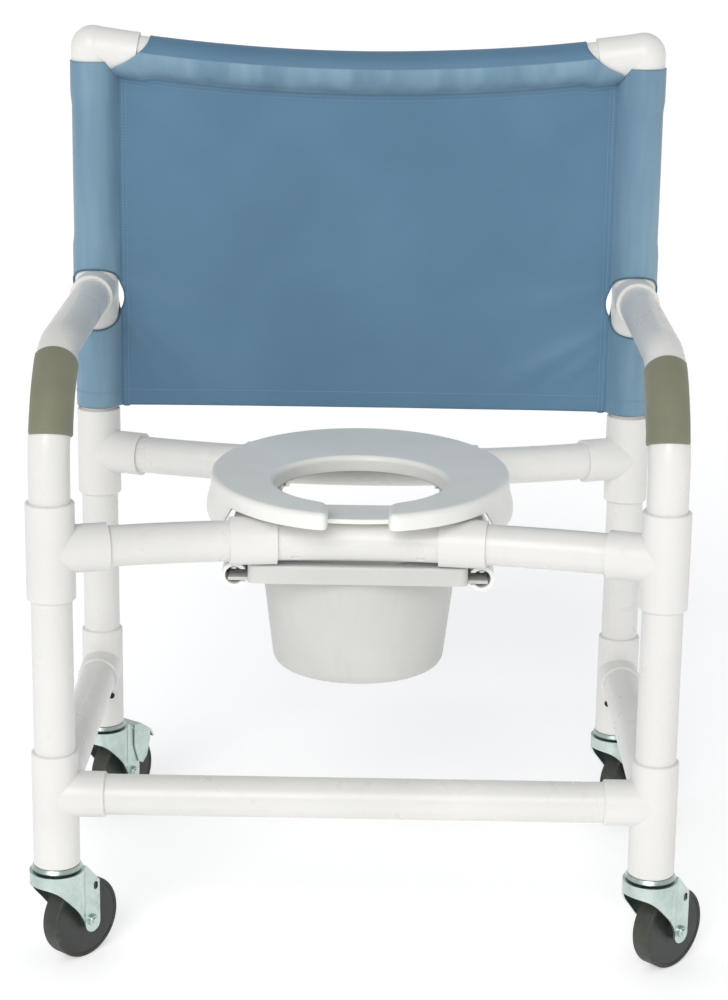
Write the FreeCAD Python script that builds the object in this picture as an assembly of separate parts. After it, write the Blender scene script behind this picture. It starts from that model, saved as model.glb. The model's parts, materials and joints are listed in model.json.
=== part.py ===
"""Wide wheeled shower and commode chair built from push-fit plastic pipe.

Millimetres, +Z up. The origin is on the floor, midway between the four legs.
The sitter faces -Y, and +X is on the left hand of the sitter.
"""
import FreeCAD, Part
import math
import os

V = FreeCAD.Vector
X, Y, Z = V(1, 0, 0), V(0, 1, 0), V(0, 0, 1)

# Pipe and fitting stock (nominal one and a half inch furniture grade)
PIPE_R = 24.15
BORE_R = 20.5
FITTING_R = 28.6
TEE_HALF = 58.0
TEE_BRANCH = 66.0
LOW_R = 27.6
LOW_HALF = 54.0
LOW_BRANCH = 60.0
SOCKET = 32.0
RIM_BREAK = 1.4

# Frame layout, all measured to pipe axes
HALF_W = 354.0
HALF_D = 241.0
SEAT_RAIL_Z = 518.0
FRONT_LOW_Z = 218.0
REAR_LOW_Z = 213.0
LEG_BOTTOM_Z = 130.0
ARM_Z = 737.0
ARM_BEND = 130.0
TOP_CORNER_Z = 1051.0
TOP_SAG = 26.0
FRONT_BOW = 62.0
REAR_BOW = 76.5
ELBOW_LEG = 58.0
ELBOW_STOP = 30.0
SIDE_RAIL_X = 123.5
POST_SCREW_Z = 176.0
POST_SCREW_R = 2.0
POST_HEAD_R = 4.2
POST_HEAD_THICK = 2.0
SLIP_HALF = 28.0
SLIP_BRANCH = 58.0
SLIP_STOP = 30.0
DRAIN_X = 73.0
DRAIN_LONG, DRAIN_WIDE, DRAIN_DEEP = 9.0, 5.0, 12.0
DRAIN_FORWARD, DRAIN_DOWN = 20.0, 26.0

# Back sling and arm pads
SLING_BOTTOM_Z = 578.0
SLING_IN_R = 29.0
SLING_THICK = 1.5
SLING_TOP_TRIM = 292.0
SLING_POST_TOP_Z = 985.0
ARM_CUTOUT_R = 36.0
PAD_R = 27.6
PAD_GAP_DEG = 70.0
PAD_START_DEG = 20.0
PAD_END_DEG = 63.0

# Seat and pail
SEAT_TOP_Z = 570.0
SEAT_THICK = 20.0
SEAT_WALL = 3.5
SEAT_HALF_W = 183.0
SEAT_FRONT_Y = -259.0
SEAT_BACK_Y = 174.0
HOLE_HALF_W = 103.0
HOLE_FRONT_Y = -205.0
HOLE_BACK_Y = 19.0
GAP_HALF_W = 35.0
GAP_LEN = 109.0
CROWN_BREAK = 5.0
BRIDGE_TOP_Z = 552.0
BRIDGE_THICK = 6.0
BRIDGE_FRONT_Y = -211.0
BRIDGE_LEN = 66.0
BRIDGE_LAP = 14.0
WING_BOTTOM_Z = 521.0
WING_FRONT_Y = -155.0
WING_BACK_Y = 75.0
SADDLE_FRONTS_Y = (-120.0, 60.0)
SADDLE_LEN = 34.0
SADDLE_HALF_W = 29.0
SADDLE_CLEAR = 0.5
PAIL_Y = -62.0
PAIL_TOP_Z = 488.5
PAIL_BOTTOM_Z = 331.0
PAIL_TOP_R = 123.0
PAIL_BOTTOM_R = 104.0
PAIL_WALL = 2.5
PAIL_COLLAR = 130.0
PAIL_SLIDE_HALF = 153.5
PAIL_SLIDE_Z = 466.75
TRACK_R = 15.3
TRACK_WALL = 4.5
TRACK_X = 146.0
TRACK_HALF_LEN = 124.0
TRACK_Y = -60.0
TRACK_SCREW_R = 2.0
TRACK_HEAD_R = 4.0
TRACK_HEAD_THICK = 1.6
TRACK_HEAD_DROP = 2.4

# Swivel casters
WHEEL_R = 50.0
WHEEL_HALF = 12.5
CORE_R = 45.0
HUB_R = 12.0
TREAD_BREAK = 2.5
TRAIL = 35.5
AXLE_R = 4.0
STEM_R = 6.0
RUN_GAP = 0.05
CROWN_R = 33.0
CROWN_TOP_Z = 122.0
PLATE = 2.5
FORK_HALF = 22.0
FORK_END = 48.0
CREASE_X = 22.0
AXLE_HEAD_R, AXLE_HEAD_THICK = 7.0, 4.5
NUT_R, NUT_THICK = 7.2, 5.0
PIN_X, PIN_Z, PIN_R = 41.5, 93.0, 3.1
WINDOW_R, WINDOW_RISE = 3.25, 2.0
EAR_GAP, EAR_THICK = 0.7, 2.5
FLANGE_R = 10.0
CUP_LOW_Z, CUP_WAIST_Z = 124.0, 126.0
CUP_FOOT_R, CUP_WAIST_R, CUP_TOP_R = 29.0, 30.5, 28.0
PLUG_LEN = 46.0
CASTERS = {
    "front_left": (-HALF_W, -HALF_D, 50.0, False),
    "front_right": (HALF_W, -HALF_D, 44.0, False),
    "rear_left": (-HALF_W, HALF_D, 54.0, True),
    "rear_right": (HALF_W, HALF_D, 38.0, True),
}


# ---------------------------------------------------------------- helpers
def save(name, *solids):
    """Write one sub-part, as one solid or as a group of identical solids."""
    shape = solids[0] if len(solids) == 1 else Part.makeCompound(list(solids))
    shape.exportStep("parts/" + name + ".step")


def rod(radius, start, end):
    return Part.makeCylinder(radius, (end - start).Length, start, end - start)


def along(start, direction, distance):
    return start + V(direction).normalize() * distance


def tube(start, end, outer=PIPE_R, inner=BORE_R):
    return rod(outer, start, end).cut(rod(inner, start, end))


def mirrored(shape):
    return shape.mirror(V(0, 0, 0), X)


def collar(radius, start, end):
    """A fitting's barrel whose two rims are broken by a small chamfer."""
    barrel = rod(radius, start, end)
    rims = [edge for edge in barrel.Edges if edge.Curve.TypeId == "Part::GeomCircle"]
    return barrel.makeChamfer(RIM_BREAK, rims)


def joined(first, *others):
    return first.multiFuse(list(others)).removeSplitter()


class Bow:
    """A pipe axis that is one arc between two posts, with its middle pushed along bow_axis."""

    def __init__(self, middle, bow_axis, sagitta):
        self.radius = (HALF_W ** 2 + sagitta ** 2) / (2 * sagitta)
        self.centre = middle - bow_axis * self.radius
        self.bow_axis = bow_axis
        self.turn_axis = X.cross(bow_axis)
        self.reach = self.radius * math.asin(HALF_W / self.radius)

    def point(self, s):
        angle = s / self.radius
        return self.centre + (self.bow_axis * math.cos(angle) + X * math.sin(angle)) * self.radius

    def at_x(self, x):
        return self.radius * math.asin(x / self.radius)

    def solid(self, s0, s1, radius):
        tangent = X * math.cos(s0 / self.radius) - self.bow_axis * math.sin(s0 / self.radius)
        disc = Part.Face(Part.Wire(Part.makeCircle(radius, self.point(s0), tangent)))
        degrees = math.degrees((s1 - s0) / self.radius)
        return disc.revolve(self.centre, self.turn_axis * -1, degrees)

    def tube(self, s0, s1, outer=PIPE_R, inner=BORE_R):
        return self.solid(s0, s1, outer).cut(self.solid(s0, s1, inner))


FRONT_RAIL = Bow(V(0, -HALF_D + FRONT_BOW, SEAT_RAIL_Z), Y, FRONT_BOW)
REAR_RAIL = Bow(V(0, HALF_D - REAR_BOW, SEAT_RAIL_Z), Y * -1, REAR_BOW)
TOP_RAIL = Bow(V(0, HALF_D, TOP_CORNER_Z - TOP_SAG), Z * -1, TOP_SAG)
PIPE_START = TEE_BRANCH - SOCKET


def low_rail_axis(side):
    front = V(side * HALF_W, -HALF_D, FRONT_LOW_Z)
    rear = V(side * HALF_W, HALF_D, REAR_LOW_Z)
    return front, rear


# ---------------------------------------------------------------- fittings
def straight_branch(centre, direction, length, radius=FITTING_R - 0.4):
    end = along(centre, direction, length)
    barrel = collar(radius, centre, end)
    bores = [rod(BORE_R, centre, end), rod(PIPE_R, along(centre, direction, length - SOCKET), end)]
    return barrel, bores


def vertical_fitting(centre, half, branches, radius=FITTING_R, foot_z=None):
    """A fitting on a post. With foot_z its lower barrel runs on down to that height."""
    low = centre - Z * half if foot_z is None else V(centre.x, centre.y, foot_z)
    high, stop = centre + Z * half, Z * (half - SOCKET)
    body = collar(radius, low, high)
    bores = [rod(BORE_R, low, high), rod(PIPE_R, low, centre - stop), rod(PIPE_R, centre + stop, high)]
    for barrel, branch_bores in branches:
        body = body.fuse(barrel)
        bores += branch_bores
    for bore in bores:
        body = body.cut(bore)
    return body.removeSplitter()


def bow_branch(rail, length, socket):
    """The socket on the left that takes the end of a bowed rail."""
    end, stop = rail.reach, rail.reach - length
    spans = [(-stop, -end, FITTING_R - 0.4), (-stop, -end, BORE_R), (-stop, -stop - socket, PIPE_R)]
    made = [rail.solid(a, b, r) for a, b, r in spans]
    return made[0], made[1:]


def seat_tee(y, rail):
    centre = V(-HALF_W, y, SEAT_RAIL_Z)
    return vertical_fitting(centre, TEE_HALF, [bow_branch(rail, TEE_BRANCH, SOCKET)])


def front_lower_fitting(side):
    front, rear = low_rail_axis(side)
    inward = straight_branch(front, X * -side, LOW_BRANCH, LOW_R - 0.4)
    backward = straight_branch(front, rear - front, LOW_BRANCH, LOW_R - 0.4)
    return vertical_fitting(front, LOW_HALF, [inward, backward], LOW_R, LEG_BOTTOM_Z)


def rear_lower_tee(side):
    front, rear = low_rail_axis(side)
    forward = straight_branch(rear, front - rear, LOW_BRANCH, LOW_R - 0.4)
    tee = vertical_fitting(rear, LOW_HALF, [forward], LOW_R, LEG_BOTTOM_Z)
    return tee.cut(post_screw_hole(side))


def post_screw_line(side):
    """Where a post screw's head meets the tee, and the way its shank points."""
    inward = V(side * 0.5, 0.866, 0).normalize()
    axis = V(side * HALF_W, HALF_D, POST_SCREW_Z)
    return axis - inward * LOW_R, inward


def post_screw_hole(side):
    face, inward = post_screw_line(side)
    return rod(POST_SCREW_R, face - inward, face + inward * 10)


def arm_tee(side):
    centre = V(side * HALF_W, HALF_D, ARM_Z)
    return vertical_fitting(centre, TEE_HALF, [straight_branch(centre, Y * -1, TEE_BRANCH)])


def top_elbow():
    corner = V(-HALF_W, HALF_D, TOP_CORNER_Z)
    foot = corner - Z * ELBOW_LEG
    socket = ELBOW_LEG - ELBOW_STOP
    barrel, bores = bow_branch(TOP_RAIL, ELBOW_LEG, socket)
    body = joined(collar(FITTING_R, foot, corner + Z * RIM_BREAK), barrel, Part.makeSphere(FITTING_R, corner))
    bores += [rod(BORE_R, foot, corner), rod(PIPE_R, foot, foot + Z * socket)]
    for bore in bores:
        body = body.cut(bore)
    return body.cut(Part.makeSphere(BORE_R, corner))


def slip_tee(side, rail, outward):
    """A short tee that slides over a bowed rail. Its branch takes a seat side rail."""
    s = rail.at_x(SIDE_RAIL_X)
    axis_point = rail.point(s)
    end = axis_point + outward * SLIP_BRANCH
    body = rail.solid(s - SLIP_HALF, s + SLIP_HALF, FITTING_R)
    body = body.fuse(collar(FITTING_R - 0.4, axis_point, end))
    body = body.cut(rail.solid(s - SLIP_BRANCH, s + SLIP_BRANCH, PIPE_R))
    body = body.cut(rod(PIPE_R, axis_point + outward * SLIP_STOP, end))
    body = body.cut(rod(BORE_R, axis_point, end))
    return body if side > 0 else mirrored(body)


def make_fittings():
    for side, name in ((-1, "left"), (1, "right")):
        save("front_lower_fitting_" + name, front_lower_fitting(side))
        save("rear_lower_tee_" + name, rear_lower_tee(side))
        save("arm_tee_" + name, arm_tee(side))
    lefts = {"front_seat_tee_": seat_tee(-HALF_D, FRONT_RAIL), "rear_seat_tee_": seat_tee(HALF_D, REAR_RAIL),
             "top_elbow_": top_elbow()}
    for prefix, left in lefts.items():
        save(prefix + "left", left)
        save(prefix + "right", mirrored(left))
    save("front_slip_tees", *[slip_tee(side, FRONT_RAIL, Y) for side in (-1, 1)])
    save("rear_slip_tees", *[slip_tee(side, REAR_RAIL, Y * -1) for side in (-1, 1)])


# ---------------------------------------------------------------- pipes
def upright(side, y, low, high):
    return tube(V(side * HALF_W, y, low), V(side * HALF_W, y, high))


def arm_bend(side, radius, start_deg, end_deg):
    """A length of the arm pipe's bend. Its angles are measured from where the bend leaves the leg."""
    x, bend_z = side * HALF_W, ARM_Z - ARM_BEND
    centre = V(x, -HALF_D + ARM_BEND, bend_z)
    turn = math.radians(start_deg)
    first = centre + V(0, -math.cos(turn), math.sin(turn)) * ARM_BEND
    disc = Part.Face(Part.Wire(Part.makeCircle(radius, first, V(0, math.sin(turn), math.cos(turn)))))
    return disc.revolve(centre, X * -1, end_deg - start_deg)


def arm_path_solid(side, radius):
    """The arm's whole run: up from the seat tee, round the bend and back to the arm tee."""
    x, bend_z, bend_y = side * HALF_W, ARM_Z - ARM_BEND, -HALF_D + ARM_BEND
    foot_z, tail_y = SEAT_RAIL_Z + TEE_HALF - SOCKET, HALF_D - PIPE_START
    upright_part = rod(radius, V(x, -HALF_D, foot_z), V(x, -HALF_D, bend_z))
    level_part = rod(radius, V(x, bend_y, ARM_Z), V(x, tail_y, ARM_Z))
    return joined(arm_bend(side, radius, 0.0, 90.0), upright_part, level_part)


def arm_pipe(side):
    return arm_path_solid(side, PIPE_R).cut(arm_path_solid(side, BORE_R))


def arm_pad(side):
    """A foam sleeve round the arm's bend, split along the outer side."""
    sleeve = arm_bend(side, PAD_R, PAD_START_DEG, PAD_END_DEG)
    sleeve = sleeve.cut(arm_bend(side, PIPE_R, PAD_START_DEG, PAD_END_DEG))
    half_slot = PAD_R * math.sin(math.radians(PAD_GAP_DEG / 2))
    low_x = side * HALF_W - (PAD_R if side < 0 else 0)
    centre = V(low_x, -HALF_D + ARM_BEND, ARM_Z - ARM_BEND)
    slot = Part.makeCylinder(ARM_BEND + half_slot, PAD_R, centre, X)
    return sleeve.cut(slot.cut(Part.makeCylinder(ARM_BEND - half_slot, PAD_R, centre, X)))


def drain_slots(rail):
    """Two short drain slots under the middle of the front seat rail."""
    for side in (-1, 1):
        corner = rail.point(side * DRAIN_X) - V(DRAIN_LONG / 2, DRAIN_FORWARD, DRAIN_DOWN)
        yield Part.makeBox(DRAIN_LONG, DRAIN_WIDE, DRAIN_DEEP, corner)


def make_pipes():
    sides = (-1, 1)
    low_socket = SOCKET - LOW_HALF
    stubs = [upright(side, -HALF_D, LEG_BOTTOM_Z, FRONT_LOW_Z + low_socket) for side in sides]
    stubs += [upright(side, HALF_D, LEG_BOTTOM_Z, REAR_LOW_Z + low_socket).cut(post_screw_hole(side))
              for side in sides]
    save("leg_stub_pipes", *stubs)
    seat_low, seat_high = SEAT_RAIL_Z - TEE_HALF + SOCKET, SEAT_RAIL_Z + TEE_HALF - SOCKET
    arm_low, arm_high = ARM_Z - TEE_HALF + SOCKET, ARM_Z + TEE_HALF - SOCKET
    save("front_leg_pipes", *[upright(s, -HALF_D, FRONT_LOW_Z - low_socket, seat_low) for s in sides])
    save("rear_lower_post_pipes", *[upright(s, HALF_D, REAR_LOW_Z - low_socket, seat_low) for s in sides])
    save("rear_middle_post_pipes", *[upright(s, HALF_D, seat_high, arm_low) for s in sides])
    save("rear_upper_post_pipes", *[upright(s, HALF_D, arm_high, TOP_CORNER_Z - ELBOW_STOP) for s in sides])
    for side, name in ((-1, "left"), (1, "right")):
        save("arm_pipe_" + name, arm_pipe(side))
        save("arm_pad_" + name, arm_pad(side))

    front_end = FRONT_RAIL.reach - PIPE_START
    front = FRONT_RAIL.tube(-front_end, front_end)
    for slot in drain_slots(FRONT_RAIL):
        front = front.cut(slot)
    save("front_seat_rail", front)
    rear_end = REAR_RAIL.reach - PIPE_START
    save("rear_seat_rail", REAR_RAIL.tube(-rear_end, rear_end))
    top_end = TOP_RAIL.reach - ELBOW_STOP
    save("top_rail", TOP_RAIL.tube(-top_end, top_end))

    front_y = FRONT_RAIL.point(FRONT_RAIL.at_x(SIDE_RAIL_X)).y + SLIP_STOP
    rear_y = REAR_RAIL.point(REAR_RAIL.at_x(SIDE_RAIL_X)).y - SLIP_STOP
    rails = [tube(V(s * SIDE_RAIL_X, front_y, SEAT_RAIL_Z), V(s * SIDE_RAIL_X, rear_y, SEAT_RAIL_Z))
             for s in sides]
    save("seat_side_rails", *rails)

    inset = LOW_BRANCH - SOCKET
    cross = V(HALF_W - inset, -HALF_D, FRONT_LOW_Z)
    save("lower_front_rail", tube(V(-cross.x, cross.y, cross.z), cross))
    lower = []
    for side in sides:
        front_axis, rear_axis = low_rail_axis(side)
        fall = rear_axis - front_axis
        lower.append(tube(along(front_axis, fall, inset), along(rear_axis, fall * -1, inset)))
    save("lower_side_rails", *lower)


# ---------------------------------------------------------------- back sling
def sling_panel():
    """The flat panel between the posts, in their plane. Its upper corners are cut away in an arc."""
    y, low, high = HALF_D - SLING_THICK / 2, SLING_BOTTOM_Z, SLING_POST_TOP_Z
    top = TOP_RAIL.point(TOP_RAIL.at_x(SLING_TOP_TRIM))
    lean = 0.25 * (HALF_W - top.x)
    edges = [Part.makeLine(V(-HALF_W, y, low), V(HALF_W, y, low))]
    for sign in (-1, 1):
        shoulder, crest = V(sign * HALF_W, y, high), V(sign * top.x, y, top.z)
        middle = (shoulder + crest) * 0.5 + V(-sign * lean, 0, -lean)
        edges.append(Part.makeLine(V(sign * HALF_W, y, low), shoulder))
        edges.append(Part.Arc(shoulder, middle, crest).toShape())
    crest, sag = V(top.x, y, top.z), V(0, y, TOP_RAIL.point(0).z)
    edges.append(Part.Arc(crest, sag, V(-crest.x, y, crest.z)).toShape())
    return Part.Face(Part.Wire(Part.__sortEdges__(edges))).extrude(Y * SLING_THICK)


def back_sling():
    """A mesh panel in the plane of the posts, with pockets round both posts and the top rail."""
    outer = SLING_IN_R + SLING_THICK
    end = TOP_RAIL.at_x(SLING_TOP_TRIM)
    body = joined(sling_panel(), TOP_RAIL.solid(-end, end, outer))
    for side in (-1, 1):
        axis = V(side * HALF_W, HALF_D, 0)
        foot, head = axis + Z * SLING_BOTTOM_Z, axis + Z * SLING_POST_TOP_Z
        arm = axis + Z * ARM_Z
        body = body.fuse(rod(outer, foot, head)).cut(rod(SLING_IN_R, foot, axis + Z * TOP_CORNER_Z))
        body = body.cut(rod(ARM_CUTOUT_R, arm - Y * HALF_D, arm + Y * 4))
    return body.cut(TOP_RAIL.solid(-end, end, SLING_IN_R)).removeSplitter()


# ---------------------------------------------------------------- seat and pail
def oval(half_w, y0, y1, z, height):
    """An upright prism on an ellipse that is half_w wide each side and runs from y0 to y1."""
    half_l = (y1 - y0) / 2
    centre = V(0, (y0 + y1) / 2, z)
    long_first = half_l >= half_w
    major, minor = max(half_l, half_w), min(half_l, half_w)
    ellipse = Part.Ellipse(V(0, 0, 0), major, minor).toShape()
    face = Part.Face(Part.Wire(ellipse))
    if long_first:
        face.rotate(V(0, 0, 0), Z, 90)
    face.translate(centre)
    return face.extrude(Z * height)


def seat_prism(inset, z, height):
    """An upright prism on the seat's outline, drawn in by inset all round."""
    return oval(SEAT_HALF_W - inset, SEAT_FRONT_Y + inset, SEAT_BACK_Y - inset, z, height)


def commode_seat():
    """A snap-on open-front seat: a hollow ring with wings and a saddle over each side rail."""
    under = SEAT_TOP_Z - SEAT_THICK
    ring = seat_prism(0, under, SEAT_THICK)
    crown = [edge for edge in ring.Edges if edge.BoundBox.ZMin > SEAT_TOP_Z - 0.1]
    ring = ring.makeFillet(CROWN_BREAK, crown)
    hollow = seat_prism(SEAT_WALL, under, SEAT_THICK - SEAT_WALL)
    hole_wall = oval(HOLE_HALF_W + SEAT_WALL, HOLE_FRONT_Y - SEAT_WALL, HOLE_BACK_Y + SEAT_WALL,
                     under, SEAT_THICK)
    hole = oval(HOLE_HALF_W, HOLE_FRONT_Y, HOLE_BACK_Y, SEAT_RAIL_Z, SEAT_TOP_Z)
    gap_front_y = SEAT_FRONT_Y - 10
    gap_wall_half = GAP_HALF_W + SEAT_WALL
    gap = Part.makeBox(2 * GAP_HALF_W, GAP_LEN, SEAT_TOP_Z, V(-GAP_HALF_W, gap_front_y, SEAT_RAIL_Z))
    gap_wall = Part.makeBox(2 * gap_wall_half, GAP_LEN, SEAT_THICK, V(-gap_wall_half, gap_front_y, under))
    lids = hollow.cut(hole_wall).cut(gap_wall)
    body = ring.cut(lids).cut(hole).cut(gap)

    bridge_half = GAP_HALF_W + BRIDGE_LAP
    parts = [Part.makeBox(2 * bridge_half, BRIDGE_LEN, BRIDGE_THICK,
                          V(-bridge_half, BRIDGE_FRONT_Y, BRIDGE_TOP_Z - BRIDGE_THICK))]
    wing_height = under - WING_BOTTOM_Z
    wings = seat_prism(0, WING_BOTTOM_Z, wing_height).cut(seat_prism(SEAT_WALL, WING_BOTTOM_Z, wing_height))
    parts.append(wings.common(Part.makeBox(2 * SEAT_HALF_W, WING_BACK_Y - WING_FRONT_Y, wing_height,
                                           V(-SEAT_HALF_W, WING_FRONT_Y, WING_BOTTOM_Z))))
    lid_underside = SEAT_TOP_Z - SEAT_WALL
    for side in (-1, 1):
        rail_x = side * SIDE_RAIL_X
        for y in SADDLE_FRONTS_Y:
            block = Part.makeBox(2 * SADDLE_HALF_W, SADDLE_LEN, lid_underside - SEAT_RAIL_Z,
                                 V(rail_x - SADDLE_HALF_W, y, SEAT_RAIL_Z))
            channel = rod(PIPE_R + SADDLE_CLEAR, V(rail_x, y - 1, SEAT_RAIL_Z),
                          V(rail_x, y + SADDLE_LEN + 1, SEAT_RAIL_Z))
            parts.append(block.cut(channel).cut(hole).common(seat_prism(0, SEAT_RAIL_Z, SEAT_THICK * 4)))
    return joined(body, *parts)


def commode_pail():
    """A round tapered pail under a square collar whose two edges run in the tracks."""
    height = PAIL_TOP_Z - PAIL_BOTTOM_Z
    foot = V(0, PAIL_Y, PAIL_BOTTOM_Z)
    tub = Part.makeCone(PAIL_BOTTOM_R, PAIL_TOP_R, height, foot, Z)
    base = [edge for edge in tub.Edges if edge.BoundBox.ZMax < PAIL_BOTTOM_Z + 0.1]
    tub = tub.makeFillet(14.0, base)
    hollow = Part.makeCone(PAIL_BOTTOM_R - PAIL_WALL, PAIL_TOP_R - PAIL_WALL, height, foot + Z * PAIL_WALL, Z)
    base = [edge for edge in hollow.Edges if edge.BoundBox.ZMax < PAIL_BOTTOM_Z + PAIL_WALL + 0.1]
    hollow = hollow.makeFillet(12.0, base)
    side = 2 * PAIL_COLLAR
    collar_h = PAIL_TOP_Z - PAIL_SLIDE_Z
    block = Part.makeBox(side, side, collar_h, V(-PAIL_COLLAR, PAIL_Y - PAIL_COLLAR, PAIL_SLIDE_Z))
    corners = [edge for edge in block.Edges if edge.BoundBox.ZLength > collar_h - 0.1]
    block = block.makeFillet(9.0, corners)
    rim = [edge for edge in block.Edges if edge.BoundBox.ZMin > PAIL_TOP_Z - 0.1]
    block = block.makeFillet(3.0, rim)
    under = Part.makeBox(side - 6, side - 6, collar_h - 3,
                         V(3 - PAIL_COLLAR, PAIL_Y - PAIL_COLLAR + 3, PAIL_SLIDE_Z - 0.1))
    slide = Part.makeBox(2 * PAIL_SLIDE_HALF, side - 24, 4,
                         V(-PAIL_SLIDE_HALF, PAIL_Y - PAIL_COLLAR + 12, PAIL_SLIDE_Z))
    return joined(block.cut(under), tub, slide).cut(hollow)


def pail_track(side):
    """A split tube, open towards the middle, that hangs under both slip tees."""
    z = SEAT_RAIL_Z - FITTING_R - TRACK_R
    start = V(side * TRACK_X, TRACK_Y - TRACK_HALF_LEN, z)
    end = V(side * TRACK_X, TRACK_Y + TRACK_HALF_LEN, z)
    slot_x = side * TRACK_X - (TRACK_R if side > 0 else 0)
    slot = Part.makeBox(TRACK_R, 2 * TRACK_HALF_LEN + 2, TRACK_R, V(slot_x, start.y - 1, z - TRACK_R / 2))
    return tube(start, end, TRACK_R, TRACK_R - TRACK_WALL).cut(slot), z


def make_seat_and_pail():
    save("commode_seat", commode_seat())
    save("commode_pail", commode_pail())
    screws = []
    front_y = FRONT_RAIL.point(FRONT_RAIL.at_x(TRACK_X)).y
    for side, name in ((-1, "left"), (1, "right")):
        track, z = pail_track(side)
        head_z = z + TRACK_R - TRACK_WALL - TRACK_HEAD_DROP
        for y in (front_y + 8, TRACK_Y + TRACK_HALF_LEN - 8):
            foot = V(side * TRACK_X, y, head_z)
            tip = foot + Z * (TRACK_HEAD_DROP + TRACK_WALL - 0.1)
            track = track.cut(rod(TRACK_SCREW_R, foot, tip + Z))
            head = rod(TRACK_HEAD_R, foot, foot + Z * TRACK_HEAD_THICK)
            screws.append(joined(head, rod(TRACK_SCREW_R, foot, tip)))
        save("pail_track_" + name, track)
    save("track_screws", *screws)


def make_frame_screws():
    """A black round-head screw that pins each rear post into its lower tee."""
    screws = []
    for side in (-1, 1):
        face, inward = post_screw_line(side)
        head = rod(POST_HEAD_R, face - inward * POST_HEAD_THICK, face)
        shank = rod(POST_SCREW_R, face, face + inward * (LOW_R - BORE_R - 0.1))
        screws.append(joined(head, shank))
    save("post_screws", *screws)


# ---------------------------------------------------------------- casters
def fork_plan(inset):
    """The fork seen from above: a round crown that draws in to two straight cheeks."""
    half, bowl_r = FORK_HALF - inset, CROWN_R - inset
    shoulder_x, shoulder_y = 8.0, bowl_r * 0.96
    end = FORK_END + 2 * inset
    outline = [V(shoulder_x, -shoulder_y, 0), V(CREASE_X, -half, 0), V(end, -half, 0),
               V(end, half, 0), V(CREASE_X, half, 0), V(shoulder_x, shoulder_y, 0),
               V(shoulder_x, -shoulder_y, 0)]
    cheeks = Part.Face(Part.makePolygon(outline)).extrude(Z * CROWN_TOP_Z)
    return Part.makeCylinder(bowl_r, CROWN_TOP_Z).fuse(cheeks)


def fork_profile():
    """The fork seen from the side: a swept lower edge, a round toe and a sloping roof."""
    y, above, back_x = -2 * CROWN_R, CROWN_TOP_Z + 1, -CROWN_R - 2
    swept = [V(back_x, y, 107.5), V(-23, y, 102.5), V(-10, y, 89), V(0, y, 78), V(12, y, 62), V(24.5, y, 45)]
    lower = Part.BSplineCurve()
    lower.interpolate(swept)
    heel, end, roof = V(FORK_END, y, 46), V(FORK_END, y, 99), V(27, y, above)
    toe = Part.Arc(swept[-1], V(TRAIL, y, 34.5), heel)
    edges = [lower.toShape(), toe.toShape(), Part.makeLine(heel, end), Part.makeLine(end, roof),
             Part.makeLine(roof, V(back_x, y, above)), Part.makeLine(V(back_x, y, above), swept[0])]
    return Part.Face(Part.Wire(edges)).extrude(Y * 4 * CROWN_R)


def fork():
    """The stamped fork in local axes: stem at the origin, trail along +X, axle along Y."""
    across = 4 * CROWN_R
    hollow = fork_plan(PLATE).common(Part.makeBox(2 * across, 2 * across, CROWN_TOP_Z - PLATE,
                                                  V(-across, -across, 0)))
    body = fork_plan(0).cut(hollow).common(fork_profile())
    body = body.cut(Part.makeCylinder(STEM_R + RUN_GAP, CROWN_TOP_Z))
    body = body.cut(Part.makeCylinder(AXLE_R, across, V(TRAIL, -across / 2, WHEEL_R), Y))
    low, high = V(PIN_X, -across / 2, PIN_Z - WINDOW_RISE), V(PIN_X, -across / 2, PIN_Z + WINDOW_RISE)
    window = Part.makeBox(2 * WINDOW_R, across, 2 * WINDOW_RISE, low - X * WINDOW_R)
    for end in (low, high):
        window = window.fuse(Part.makeCylinder(WINDOW_R, across, end, Y))
    return body.cut(window).removeSplitter()


def axle_bolt():
    axis = V(TRAIL, 0, WHEEL_R)
    reach = FORK_HALF + 6
    shank = rod(AXLE_R, axis - Y * reach, axis + Y * reach)
    head_end = -FORK_HALF - AXLE_HEAD_THICK
    head = rod(AXLE_HEAD_R, axis + Y * head_end, axis - Y * FORK_HALF)
    head = head.makeFillet(1.6, [edge for edge in head.Edges if edge.BoundBox.YMax < head_end + 0.5])
    corners = [math.radians(60 * i) for i in range(7)]
    nut = Part.Face(Part.makePolygon([axis + Y * FORK_HALF + V(math.cos(a), 0, math.sin(a)) * NUT_R
                                      for a in corners]))
    return joined(shank, head, nut.extrude(Y * NUT_THICK))


def wheel_core():
    axis, face = V(TRAIL, 0, WHEEL_R), Y * (WHEEL_HALF - 0.6)
    hub_end = Y * (FORK_HALF - PLATE - 0.4)
    core = joined(rod(CORE_R, axis - face, axis + face), rod(HUB_R, axis - hub_end, axis + hub_end))
    return core.cut(rod(AXLE_R + RUN_GAP, axis - hub_end * 2, axis + hub_end * 2))


def tyre():
    axis = V(TRAIL, 0, WHEEL_R)
    ring = rod(WHEEL_R, axis - Y * WHEEL_HALF, axis + Y * WHEEL_HALF)
    rims = [edge for edge in ring.Edges if edge.Curve.TypeId == "Part::GeomCircle"]
    ring = ring.makeFillet(TREAD_BREAK, rims)
    return ring.cut(rod(CORE_R, axis - Y * WHEEL_R, axis + Y * WHEEL_R))


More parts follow.
